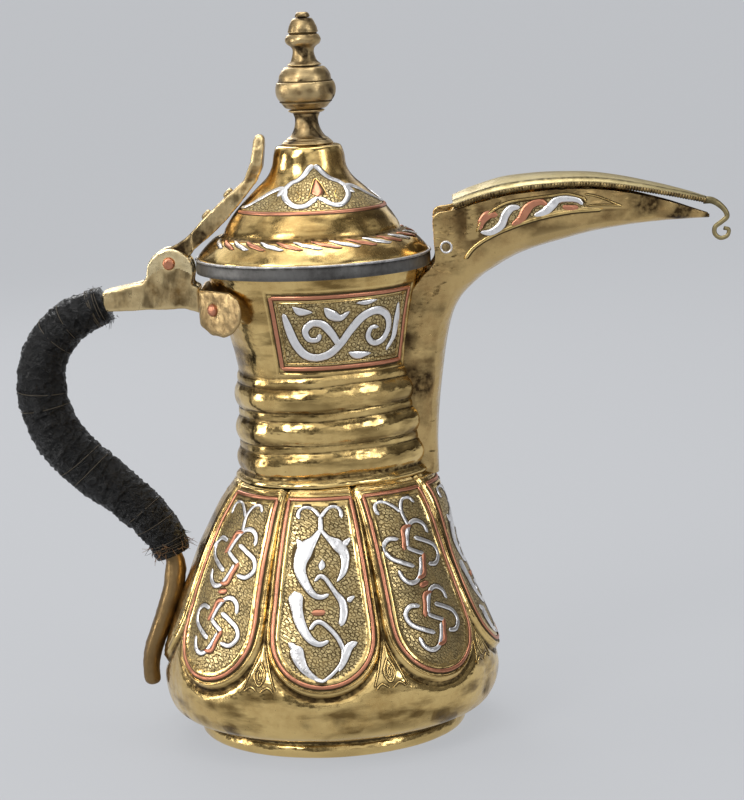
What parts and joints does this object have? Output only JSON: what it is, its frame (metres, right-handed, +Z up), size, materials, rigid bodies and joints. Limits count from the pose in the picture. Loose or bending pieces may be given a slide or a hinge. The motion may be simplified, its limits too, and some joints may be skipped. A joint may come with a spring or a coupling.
{
  "type": "dallah coffee pot",
  "caption": "Long-beaked brass coffee pot with a lobed, inlaid body, a domed hinged lid with a turned finial, a hinged spout cover and a wrapped loop handle.",
  "frame": {"origin": "middle of the foot's flat base, where the pot stands", "axes": "+Z up the pot's axis, +X towards the spout's tip, -X to the handle, -Y the front"},
  "size_m": [0.2804, 0.135, 0.28],
  "materials": {
    "brass_polished": "aged polish with brown patina in the hollows",
    "brass_aged": "dull cast brass",
    "copper": "worn copper",
    "silver": "worn silver",
    "tinned_band": "dark tinned",
    "grip_wrap": "black, waxed, glossy"
  },
  "bodies": {
    "pot": {"body_bulb": "brass_polished", "body_neck": "brass_polished", "foot_ring": "brass_polished", "base_disc": "brass_aged", "spout_shell": "brass_polished", "handle_frame": "brass_aged", "handle_yoke": "brass_aged", "handle_wrap": "grip_wrap", "yoke_rivet_front": "copper", "yoke_rivet_rear": "copper", "hinge_pin": "copper", "cover_pin": "brass_polished", "neck_border_front": "copper", "neck_border_rear": "copper", "neck_figure_front": "silver", "neck_figure_rear": "silver", "panel_border_1": "copper", "panel_figure_1": "silver", "panel_border_2": "copper", "panel_figure_2": "silver", "panel_border_3": "copper", "panel_figure_3": "silver", "panel_border_4": "copper", "panel_figure_4": "silver", "panel_border_5": "copper", "panel_figure_5": "silver", "panel_border_6": "copper", "panel_figure_6": "silver", "panel_border_8": "copper", "panel_figure_8": "silver"},
    "lid": {"lid_dome": "brass_polished", "lid_rim_band": "tinned_band", "lid_skirt": "brass_aged", "lid_lever": "brass_aged", "lever_rivet_upper": "copper", "lever_rivet_lower": "copper", "finial_base": "brass_polished", "finial_ball": "brass_polished", "finial_spool": "brass_polished", "finial_acorn": "brass_polished", "finial_rod": "brass_polished", "finial_washer": "brass_aged", "lid_line": "copper", "lid_rope": "silver"},
    "spout_cover": {"cover_plate": "brass_polished", "cover_bead_front": "brass_polished", "cover_bead_rear": "brass_polished", "cover_arm_front": "brass_aged", "cover_arm_rear": "brass_aged", "cover_hook": "brass_polished"}
  },
  "joints": [
    {"name": "lid_hinge", "type": "hinge", "parent": "pot", "child": "lid", "pos_m": [-0.0556, 0, 0.1862], "axis": [0, -1, 0], "range_deg": [0, 105]},
    {"name": "spout_cover_hinge", "type": "hinge", "parent": "pot", "child": "spout_cover", "pos_m": [0.0517, 0, 0.1893], "axis": [0, -1, 0], "range_deg": [0, 35]}
  ]
}
